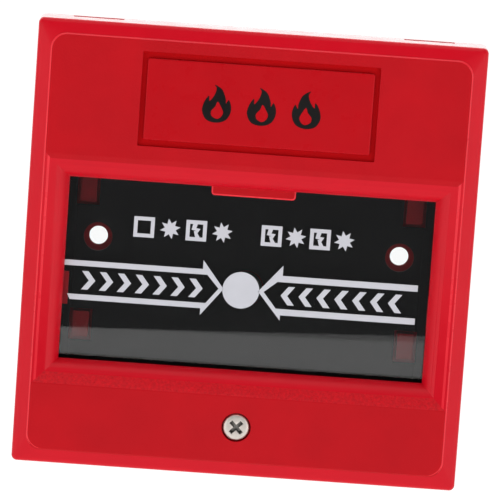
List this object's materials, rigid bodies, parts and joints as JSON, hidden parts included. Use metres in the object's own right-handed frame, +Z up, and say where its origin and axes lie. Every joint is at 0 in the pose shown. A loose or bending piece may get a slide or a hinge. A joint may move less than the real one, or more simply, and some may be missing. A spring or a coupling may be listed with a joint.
{
  "type": "manual call point",
  "caption": "Square red break-glass fire alarm call point: hinged front cover with a glass pane, and a spring plunger that works a switch behind the wall plate.",
  "frame": {"origin": "centre of the square plate's outline, in the plane of the wall face", "axes": "+X to the right seen from the front, +Y into the wall, +Z up; the front faces -Y"},
  "size_m": [0.0886, 0.0413, 0.0886],
  "materials": {
    "red_cover": "fine spark-eroded texture on the field, satin on the rim and the window surround",
    "red_base": "satin moulded",
    "red_legend": "smooth",
    "black_backing": "fine matt",
    "switch_case": "satin moulded",
    "clear_glass": "polished, clear",
    "white_acetal": "satin",
    "black_acetal": "satin",
    "nickel": "nickel plated, slightly dull",
    "zinc_steel": "zinc plated",
    "brass": "turned or pressed, bright",
    "board_green": "solder mask over glass laminate",
    "terminal_green": "moulded",
    "resistor_tan": "lacquered"
  },
  "bodies": {
    "base": {"base_plate": "red_base", "backing_plate": "black_backing", "screw_insert": "brass", "plunger_spring": "zinc_steel", "switch_body": "switch_case", "switch_lever_pin": "zinc_steel", "switch_pin_1": "zinc_steel", "switch_pin_2": "zinc_steel", "switch_pin_3": "zinc_steel", "circuit_board": "board_green", "board_screw_1": "zinc_steel", "board_screw_2": "zinc_steel", "board_screw_3": "zinc_steel", "board_screw_4": "zinc_steel", "terminal_block": "terminal_green", "terminal_clamp_1": "brass", "terminal_clamp_2": "brass", "terminal_clamp_3": "brass", "terminal_clamp_4": "brass", "terminal_screw_1": "zinc_steel", "terminal_screw_2": "zinc_steel", "terminal_screw_3": "zinc_steel", "terminal_screw_4": "zinc_steel", "resistor": "resistor_tan"},
    "cover": {"front_cover": "red_cover", "legend_plate": "red_legend", "glass_pane": "clear_glass", "cover_screw": "nickel", "screw_washer": "zinc_steel"},
    "plunger": {"plunger": "black_acetal", "plunger_ring": "zinc_steel"},
    "lever": {"switch_lever": "zinc_steel"},
    "button": {"switch_button": "white_acetal"}
  },
  "joints": [
    {"name": "cover_swing", "type": "hinge", "parent": "base", "child": "cover", "pos_m": [0, -0.0035, 0.04325], "axis": [-1, 0, 0], "range_deg": [0, 55]},
    {"name": "plunger_slide", "type": "slide", "parent": "base", "child": "plunger", "axis": [0, -1, 0], "range_m": [0, 0.0025], "deforming": ["plunger_spring"]},
    {"name": "lever_swing", "type": "hinge", "parent": "base", "child": "lever", "pos_m": [-0.0128, 0.00475, -0.0073], "axis": [0, 0, -1], "range_deg": [0, 10]},
    {"name": "button_slide", "type": "slide", "parent": "base", "child": "button", "axis": [0, -1, 0], "range_m": [0, 0.0005]}
  ],
  "couplings": [
    {"joint": "plunger_slide", "follows": "cover_swing", "m_per_rad": 0.0026},
    {"joint": "lever_swing", "follows": "cover_swing", "ratio": 0.18},
    {"joint": "button_slide", "follows": "cover_swing", "m_per_rad": 0.0005}
  ]
}
